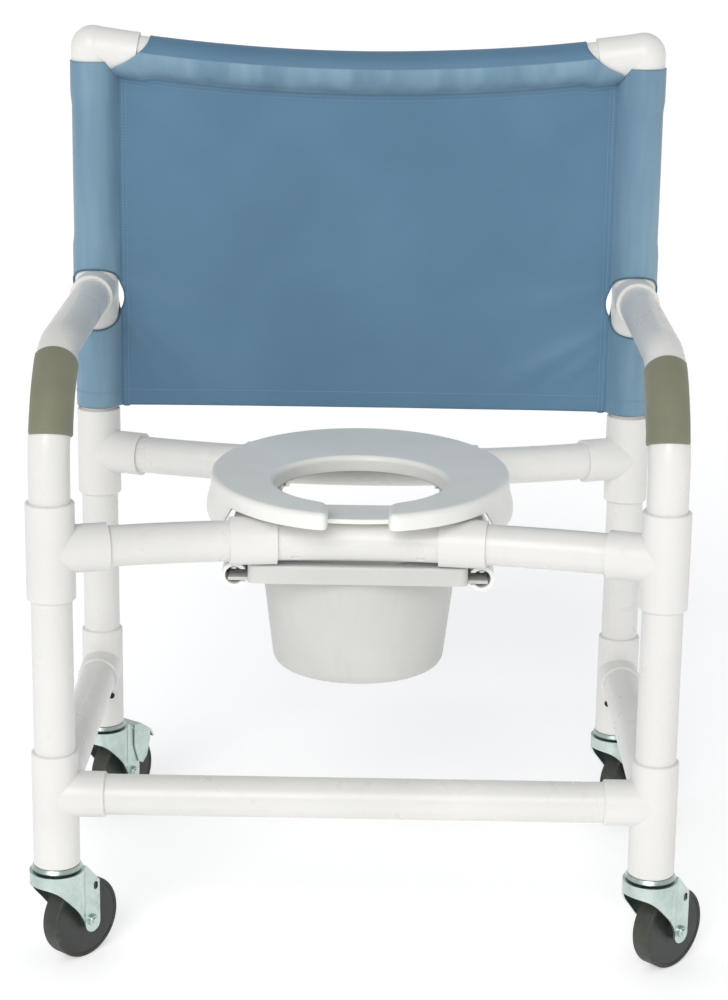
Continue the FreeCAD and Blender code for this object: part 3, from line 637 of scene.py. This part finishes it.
def make_stitches():
    verts, faces = [], []
    rings = ((-0.5, 0.35), (-0.3, 0.9), (0.0, 1.0), (0.3, 0.9), (0.5, 0.35))
    for line in stitch_lines():
        for middle, direction in along_line(line, STITCH_STEP):
            side = direction.cross(Vector((0, 1, 0))).normalized()
            out = side.cross(direction)
            start = len(verts)
            for offset, size in rings:
                for i in range(STITCH_SIDES):
                    a = TURN * i / STITCH_SIDES
                    around = side * math.cos(a) + out * math.sin(a)
                    verts.append(middle + direction * offset * STITCH_LONG + around * size * STITCH_R)
            for i in range(len(rings) - 1):
                faces += ring_faces(start + i * STITCH_SIDES, start + (i + 1) * STITCH_SIDES, STITCH_SIDES)
            last = start + (len(rings) - 1) * STITCH_SIDES
            faces.append(tuple(range(start, start + STITCH_SIDES))[::-1])
            faces.append(tuple(range(last, last + STITCH_SIDES)))
    stitches = new_piece("sling_stitches", verts, faces, thread_cotton(), "frame")
    face_outwards(stitches)
    return stitches


def make_binding(side, name, material):
    """The rolled edge sewn round an arm hole."""
    count, sides, radius = 96, 8, 1.25 * MM
    rim = []
    for i in range(count):
        a = TURN * i / count
        w, z = ARM_HOLE_W + ARM_HOLE_ACROSS * math.cos(a), ARM_HOLE_Z + ARM_HOLE_UP * math.sin(a)
        rim.append((main_point(w, z, side), main_point(w, z, side, 1 * MM)))
    verts, faces, flat = [], [], []
    for i in range(count):
        here, lifted = rim[i]
        ahead = (rim[(i + 1) % count][0] - rim[i - 1][0]).normalized()
        out = (lifted - here).normalized()
        cross = ahead.cross(out).normalized()
        out = cross.cross(ahead)
        for j in range(sides):
            b = TURN * j / sides
            verts.append(here + (out * math.cos(b) + cross * math.sin(b)) * radius)
            flat.append((i * 2 * MM, j * 1 * MM))
    for i in range(count):
        faces += ring_faces(i * sides, (i + 1) % count * sides, sides)
    binding = new_piece("sling_arm_hole_binding_" + name, verts, faces, material, "frame")
    write_cloth_data(binding, flat, [-1.0] * len(verts))
    face_outwards(binding)
    return binding


# ---------------------------------------------------------------- arm pads
PAD_INNER_R = PIPE_R + 0.15 * MM
PAD_OUTER_R = 27.5 * MM
PAD_HALF_GAP = math.radians(35)
PAD_FROM, PAD_TO = math.radians(20), math.radians(63)
PAD_STATIONS = 56
PAD_ARC_STEPS = 44


def arm_station(side, s):
    """A point of the arm's bent axis and its direction, s metres after the pad's front."""
    turn = PAD_FROM + s / ARM_BEND_R
    y = ARM_FRONT_Y + ARM_BEND_R * (1 - math.cos(turn))
    z = ARM_Z - ARM_BEND_R * (1 - math.sin(turn))
    return Vector((side * POST_X, y, z)), Vector((0, math.sin(turn), math.cos(turn)))


def pad_section():
    """The split sleeve's cross-section: angle from the outer side, and 0 inside to 1 outside."""
    low, high = PAD_HALF_GAP, TURN - PAD_HALF_GAP
    steps = PAD_ARC_STEPS
    lip = math.radians(2.2)
    outer = [(low + lip + (high - low - 2 * lip) * i / steps, 1.0) for i in range(steps + 1)]
    inner = [(high - lip / 2 - (high - low - lip) * i / steps, 0.0) for i in range(steps + 1)]
    first_lip, second_lip = (low + lip * 0.25, 0.75), (high - lip * 0.25, 0.75)
    return [first_lip] + outer + [second_lip, (high, 0.4)] + inner + [(low, 0.4)]


def make_pad(side, name, material):
    length = ARM_BEND_R * (PAD_TO - PAD_FROM)
    section = pad_section()
    stations = [0.0, 0.0003, 0.0012, 0.0026]
    stations += [0.0026 + (length - 0.0052) * (i + 1) / PAD_STATIONS for i in range(PAD_STATIONS)]
    stations += [length - 0.0012, length - 0.0003, length]
    verts, faces = [], []
    for s in stations:
        centre, ahead = arm_station(side, s)
        outward = Vector((side, 0, 0))
        upward = ahead.cross(outward) * side
        end = min(s, length - s) / 0.0028
        rounding = math.sqrt(max(0.0, 1 - (1 - min(1.0, end)) ** 2)) if end < 1 else 1.0
        for angle, share in section:
            swell = 0.5 * MM * ripple(s * 34 + side * 9, angle * 1.7, 2.0)
            swell += 0.25 * MM * math.sin(angle * 3 + s * 40)
            outer = PAD_OUTER_R + swell * smooth(min(s, length - s), 0, 0.012)
            outer = PAD_INNER_R + (outer - PAD_INNER_R) * (0.45 + 0.55 * rounding)
            radius = PAD_INNER_R + (outer - PAD_INNER_R) * share
            verts.append(centre + (outward * math.cos(angle) + upward * math.sin(angle)) * radius)
    count = len(section)
    for i in range(len(stations) - 1):
        faces += ring_faces(i * count, (i + 1) * count, count)
    last = (len(stations) - 1) * count
    for first in (0, last):
        arc = PAD_ARC_STEPS + 1
        outer_ids = [first + i for i in range(1, arc + 1)]
        inner_ids = [first + arc + 3 + i for i in range(arc)][::-1]
        faces += [(outer_ids[i], outer_ids[i + 1], inner_ids[i + 1], inner_ids[i])
                  for i in range(PAD_ARC_STEPS)]
        faces.append((first + 0, outer_ids[0], inner_ids[0], first + count - 1))
        faces.append((outer_ids[-1], first + arc + 1, first + arc + 2, inner_ids[-1]))
    pad = new_piece("arm_pad_" + name + "_foam", verts, faces, material, "frame")
    face_outwards(pad)
    refine = pad.modifiers.new("refine", "SUBSURF")
    refine.levels = refine.render_levels = 1
    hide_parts("arm_pad_" + name)
    return pad


# ---------------------------------------------------------------- commode seat
SEAT_TOP = SEAT_HIGH.z
SEAT_HALF_W = 183 * MM
SEAT_FRONT_Y = -259 * MM
SEAT_BACK_Y = SEAT_HIGH.y
PLATE = 20 * MM
SEAT_WALL = 3.5 * MM
SEAT_ROLL = 6.5 * MM
HOLE_HALF_W = 103 * MM
HOLE_FRONT_Y, HOLE_BACK_Y = -205 * MM, 19 * MM
GAP_HALF_W = 35 * MM
WING_Z = 521 * MM
WING_FLARE = 5 * MM
SIDE_RAIL_X = 123.5 * MM
SEAT_RAIL_Z = 518 * MM
OUTLINE_STEP = 2.6 * MM


def ellipse_point(half_w, y0, y1, angle):
    return Vector((half_w * math.cos(angle), (y0 + y1) / 2 + (y1 - y0) / 2 * math.sin(angle)))


def gap_angle(half_w):
    """Where an ellipse of that half width meets the side of the front gap, from straight ahead."""
    return math.asin(GAP_HALF_W / half_w)


def resampled(points, step):
    """The same closed outline with evenly spaced points."""
    loop = points + [points[0]]
    total = sum((b - a).length for a, b in zip(loop, loop[1:]))
    count = round(total / step)
    spaced, carried, target = [], 0.0, 0.0
    for a, b in zip(loop, loop[1:]):
        length = (b - a).length
        while target <= carried + length and len(spaced) < count:
            spaced.append(a.lerp(b, (target - carried) / max(length, 1e-9)))
            target += total / count
        carried += length
    return spaced


def eased(points, corners, reach, rounds):
    """Rounds the outline off within reach of each corner."""
    weight = [max(smooth(reach - (p - c).length, 0, reach * 0.5) for c in corners) for p in points]
    for _ in range(rounds):
        middles = [(points[i - 1] + points[(i + 1) % len(points)]) / 2 for i in range(len(points))]
        points = [p.lerp(m, 0.5 * w) for p, m, w in zip(points, middles, weight)]
    return points


def seat_outline():
    """The horseshoe seen from above, anticlockwise: outer edge, one horn, the hole and the other horn."""
    outer, hole = gap_angle(SEAT_HALF_W), gap_angle(HOLE_HALF_W)
    steps = 240
    front = -math.pi / 2
    points = []
    for i in range(steps + 1):
        angle = front + outer + (TURN - 2 * outer) * i / steps
        points.append(ellipse_point(SEAT_HALF_W, SEAT_FRONT_Y, SEAT_BACK_Y, angle))
    for i in range(steps + 1):
        angle = front - hole - (TURN - 2 * hole) * i / steps
        points.append(ellipse_point(HOLE_HALF_W, HOLE_FRONT_Y, HOLE_BACK_Y, angle))
    corners = [points[0], points[steps], points[steps + 1], points[-1]]
    return eased(resampled(points, OUTLINE_STEP), corners, 17 * MM, 24)


def inward_normals(points):
    normals = []
    for i in range(len(points)):
        along = (points[(i + 1) % len(points)] - points[i - 1]).normalized()
        normals.append(Vector((-along.y, along.x)))
    return normals


def skirt_foot(point, outer):
    """How low the seat's edge hangs: deep wings over the side rails, shallow elsewhere."""
    shallow = SEAT_TOP - PLATE
    if not outer:
        return shallow
    wing = smooth(point.y, -0.166, -0.148) * smooth(-point.y, -0.100, -0.040)
    return shallow + (WING_Z - shallow) * wing


def zipped(points, first_chain, second_chain):
    """Triangles between two chains of points that start and end together."""
    faces, i, j = [], 0, 0
    while i < len(first_chain) - 1 or j < len(second_chain) - 1:
        a, b = first_chain[i], second_chain[j]
        next_a = first_chain[min(i + 1, len(first_chain) - 1)]
        next_b = second_chain[min(j + 1, len(second_chain) - 1)]
        near_a = (points[next_a] - points[b]).length if i < len(first_chain) - 1 else math.inf
        near_b = (points[next_b] - points[a]).length if j < len(second_chain) - 1 else math.inf
        if near_a <= near_b:
            faces.append((a, next_a, b))
            i += 1
        else:
            faces.append((a, next_b, b))
            j += 1
    return [face for face in faces if len(set(face)) == 3]


def lofted(rings, split=None):
    """Rings of equally many points joined by quads, with a cap on the first and the last.

    split gives the two points where a bent cap parts into an outer and an inner chain.
    """
    verts = [p for ring in rings for p in ring]
    count = len(rings[0])
    faces = []
    for i in range(len(rings) - 1):
        faces += ring_faces(i * count, (i + 1) * count, count)
    for start in (0, (len(rings) - 1) * count):
        if split is None:
            faces.append(tuple(range(start, start + count)))
            continue
        head, tail = split
        chain = [start + (head + i) % count for i in range((tail - head) % count + 1)]
        other = [start + (head - i) % count for i in range((head - tail) % count + 1)]
        faces += zipped(verts, chain, other)
    return verts, faces


def rolled_edge(radius, steps=5):
    """(inset, drop) pairs of a quarter round from a flat top down to a wall."""
    pairs = []
    for i in range(steps + 1):
        a = math.pi / 2 * i / steps
        pairs.append((radius * (1 - math.sin(a)), radius * (1 - math.cos(a))))
    return pairs


def seat_shell():
    outline = seat_outline()
    normals = inward_normals(outline)
    hole_reach = HOLE_HALF_W + 12 * MM
    outer = []
    for p in outline:
        across = p.x / hole_reach
        up = (p.y - (HOLE_FRONT_Y + HOLE_BACK_Y) / 2) / ((HOLE_BACK_Y - HOLE_FRONT_Y) / 2 + 12 * MM)
        outer.append(math.hypot(across, up) > 1 and not (abs(p.x) < GAP_HALF_W + 6 * MM and p.y > -0.245
                                                         and p.y < -0.15))
    rings = []
    for inset, drop in rolled_edge(SEAT_ROLL):
        rings.append([Vector((p.x + n.x * inset, p.y + n.y * inset, SEAT_TOP - drop))
                      for p, n in zip(outline, normals)])
    feet = [skirt_foot(p, flag) for p, flag in zip(outline, outer)]
    for share in (0.35, 0.7, 0.93, 1.0):
        ring = []
        for p, n, foot in zip(outline, normals, feet):
            depth = SEAT_TOP - SEAT_ROLL - foot
            z = SEAT_TOP - SEAT_ROLL - depth * share
            flare = -WING_FLARE * smooth(SEAT_TOP - PLATE - z, 0, 0.02) + (0.6 * MM if share == 1.0 else 0)
            ring.append(Vector((p.x + n.x * flare, p.y + n.y * flare, z)))
        rings.append(ring)
    under = SEAT_TOP - SEAT_WALL - 1 * MM
    for inset, share in ((SEAT_WALL - 0.6 * MM, 0.0), (SEAT_WALL, 0.08), (SEAT_WALL, 1.0)):
        ring = []
        for p, n, foot in zip(outline, normals, feet):
            flare = -WING_FLARE * smooth(SEAT_TOP - PLATE - foot, 0, 0.02) * (1 - share)
            ring.append(Vector((p.x + n.x * (inset + flare), p.y + n.y * (inset + flare),
                                foot + (under - foot) * share)))
        rings.append(ring)
    horn_ends = []
    for side in (1, -1):
        middle = Vector((side * GAP_HALF_W, (SEAT_FRONT_Y + HOLE_FRONT_Y) / 2))
        horn_ends.append(min(range(len(outline)), key=lambda i: (outline[i] - middle).length))
    return lofted(rings, horn_ends)


def bridge_slab():
    """The thin strip that ties the two horns together under the gap."""
    half, front_y, back_y, top, thick = 49 * MM, -211 * MM, -145 * MM, 552 * MM, 6 * MM
    corners = [Vector((half, front_y)), Vector((half, back_y)),
               Vector((-half, back_y)), Vector((-half, front_y))]
    points = []
    for a, b in zip(corners, corners[1:] + corners[:1]):
        points += [a.lerp(b, i / 24) for i in range(24)]
    points = eased(resampled(points, OUTLINE_STEP), corners, 8 * MM, 8)
    points = [Vector((p.x, p.y + 5 * MM * (p.x / half) ** 2 * (p.y < -0.18))) for p in points]
    normals = inward_normals(points)
    rings = []
    for inset, drop in rolled_edge(1.6 * MM, 3):
        rings.append([Vector((p.x + n.x * inset, p.y + n.y * inset, top - drop))
                      for p, n in zip(points, normals)])
    for inset, drop in reversed(rolled_edge(1.6 * MM, 3)):
        rings.append([Vector((p.x + n.x * inset, p.y + n.y * inset, top - thick + drop))
                      for p, n in zip(points, normals)])
    return lofted(rings)


def saddle_clip(side, y):
    """A clip under the seat that grips a side rail, as an arch swept along the rail."""
    rail_x, rail_axis_z, width = side * SIDE_RAIL_X, SEAT_RAIL_Z, 34 * MM
    inner, outer, reach, steps = PIPE_R + 0.5 * MM, PIPE_R + 4 * MM, math.radians(88), 28
    arch = []
    for i in range(steps + 1):
        a = -reach + 2 * reach * i / steps
        arch.append((outer * math.sin(a), outer * math.cos(a)))
    for i in range(steps + 1):
        a = reach - 2 * reach * i / steps
        arch.append((inner * math.sin(a), inner * math.cos(a)))
    rings = []
    for t, shrink in ((0, 0.5), (0.6, 0.0), (width / MM - 0.6, 0.0), (width / MM, 0.5)):
        ring = []
        for index, (across, up) in enumerate(arch):
            away = math.hypot(across, up)
            scale = (away - shrink * MM * (1 if index <= steps else -1)) / away
            ring.append(Vector((rail_x + across * scale, y + t * MM, rail_axis_z + up * scale)))
        rings.append(ring)
    return lofted(rings)


def make_seat():
    parts = [seat_shell(), bridge_slab()]
    parts += [saddle_clip(side, y) for side in (-1, 1) for y in (-120 * MM, 60 * MM)]
    verts, faces = [], []
    for part_verts, part_faces in parts:
        start = len(verts)
        verts += part_verts
        faces += [tuple(start + i for i in face) for face in part_faces]
    seat = new_piece("seat_shell", verts, faces, seat_plastic(), "seat")
    face_outwards(seat)
    even = seat.modifiers.new("even", "WEIGHTED_NORMAL")
    even.keep_sharp = True
    even.weight = 80
    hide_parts("commode_seat")
    return seat


# ---------------------------------------------------------------- the CAD pieces' finishes
def finish_cad_nodes():
    made = {"pvc_pipe": pipe_plastic(), "pvc_fitting": fitting_plastic(), "track_plastic": track_plastic(),
            "pail_plastic": pail_plastic(), "plated_steel": plated_steel(), "black_screw": black_screw(),
            "socket_plastic": socket_plastic(), "wheel_plastic": wheel_plastic(),
            "tyre_rubber": tyre_rubber()}
    for row in frame["record"]["subparts"]:
        material = made.get(row["material_slot"])
        node = frame["nodes"][row["node"]]
        if material and not node.hide_render:
            node.data.materials.clear()
            node.data.materials.append(material)


# ---------------------------------------------------------------- camera, floor and light
def make_camera():
    """The viewing angle: a level tripod at a standing adult's chest, tilted down, with a long lens."""
    yaw, pitch, roll = -0.0087, 0.2619, 0.0134
    ahead = Vector((math.sin(yaw) * math.cos(pitch), math.cos(yaw) * math.cos(pitch), -math.sin(pitch)))
    right = Vector((math.cos(yaw), -math.sin(yaw), 0))
    up = right.cross(ahead)
    across = right * math.cos(roll) + up * math.sin(roll)
    upright = up * math.cos(roll) - right * math.sin(roll)
    data = bpy.data.cameras.new("camera")
    data.sensor_width = 36.0
    data.lens = 87.55
    data.shift_y = -0.0096
    camera = bpy.data.objects.new("camera", data)
    camera.matrix_world = Matrix.Translation((0.02986, -2.92676, 1.31530)) @ Matrix(
        (across, upright, -ahead)).transposed().to_4x4()
    bpy.context.scene.collection.objects.link(camera)
    bpy.context.scene.camera = camera


def make_floor():
    mesh = bpy.data.meshes.new("floor")
    reach = 60.0
    mesh.from_pydata([(-reach, -reach, 0), (reach, -reach, 0), (reach, reach, 0), (-reach, reach, 0)], [],
                     [(0, 1, 2, 3)])
    floor = bpy.data.objects.new("floor", mesh)
    bpy.context.scene.collection.objects.link(floor)
    m = Material("floor_paint", Emission_Color=(1.0, 1.0, 1.0, 1.0), Emission_Strength=0.42)
    tone = m.remap(m.noise(1.5, 3.0), 0.3, 0.7, 0.0, 1.0)
    mesh.materials.append(m.finish(m.mix(tone, linear(238, 238, 238), linear(234, 234, 235)),
                                   m.remap(m.noise(30.0), 0.3, 0.7, 0.6, 0.7)))


def make_light():
    bpy.context.scene.view_settings.view_transform = "Standard"
    world = bpy.data.worlds.new("studio")
    bpy.context.scene.world = world
    world.use_nodes = True
    tree = world.node_tree
    background = tree.nodes["Background"]
    ramp = tree.nodes.new("ShaderNodeValToRGB")
    ramp.color_ramp.elements[0].position, ramp.color_ramp.elements[0].color = 0.0, (1.0, 1.0, 1.0, 1)
    ramp.color_ramp.elements[1].position, ramp.color_ramp.elements[1].color = 0.8, (0.54, 0.56, 0.58, 1)
    parts = tree.nodes.new("ShaderNodeSeparateXYZ")
    place = tree.nodes.new("ShaderNodeTexCoord")
    tree.links.new(place.outputs["Generated"], parts.inputs[0])
    tree.links.new(parts.outputs["Z"], ramp.inputs[0])
    tree.links.new(ramp.outputs[0], background.inputs["Color"])
    background.inputs["Strength"].default_value = 0.75
    sun = bpy.data.lights.new("key", "SUN")
    sun.energy = 1.5
    sun.angle = math.radians(35)
    sun.color = (1.0, 0.98, 0.95)
    key = bpy.data.objects.new("key", sun)
    aim = Vector((-0.25, -1.0, 0.62))
    key.rotation_euler = aim.to_track_quat("Z", "Y").to_euler()
    bpy.context.scene.collection.objects.link(key)


make_camera()
sling = make_sling()
stitches = make_stitches()
# The binding's third colour is a painted highlight colour; the binding's band values keep it unused.
edge_cloth = woven("sling_binding", (74, 110, 136), (68, 103, 129), (120, 150, 168), (44, 72, 94))
bindings = [make_binding(side, name, edge_cloth) for side, name in ((-1, "left"), (1, "right"))]
cloth_length = panel_top(0) - SLING_FOOT_Z + HEM + RAIL_LOOP_LENGTH + FLAP
foam = pad_foam()
for pad_side, pad_name in ((-1, "left"), (1, "right")):
    make_pad(pad_side, pad_name, foam)
make_seat()
finish_cad_nodes()
make_floor()
make_light()
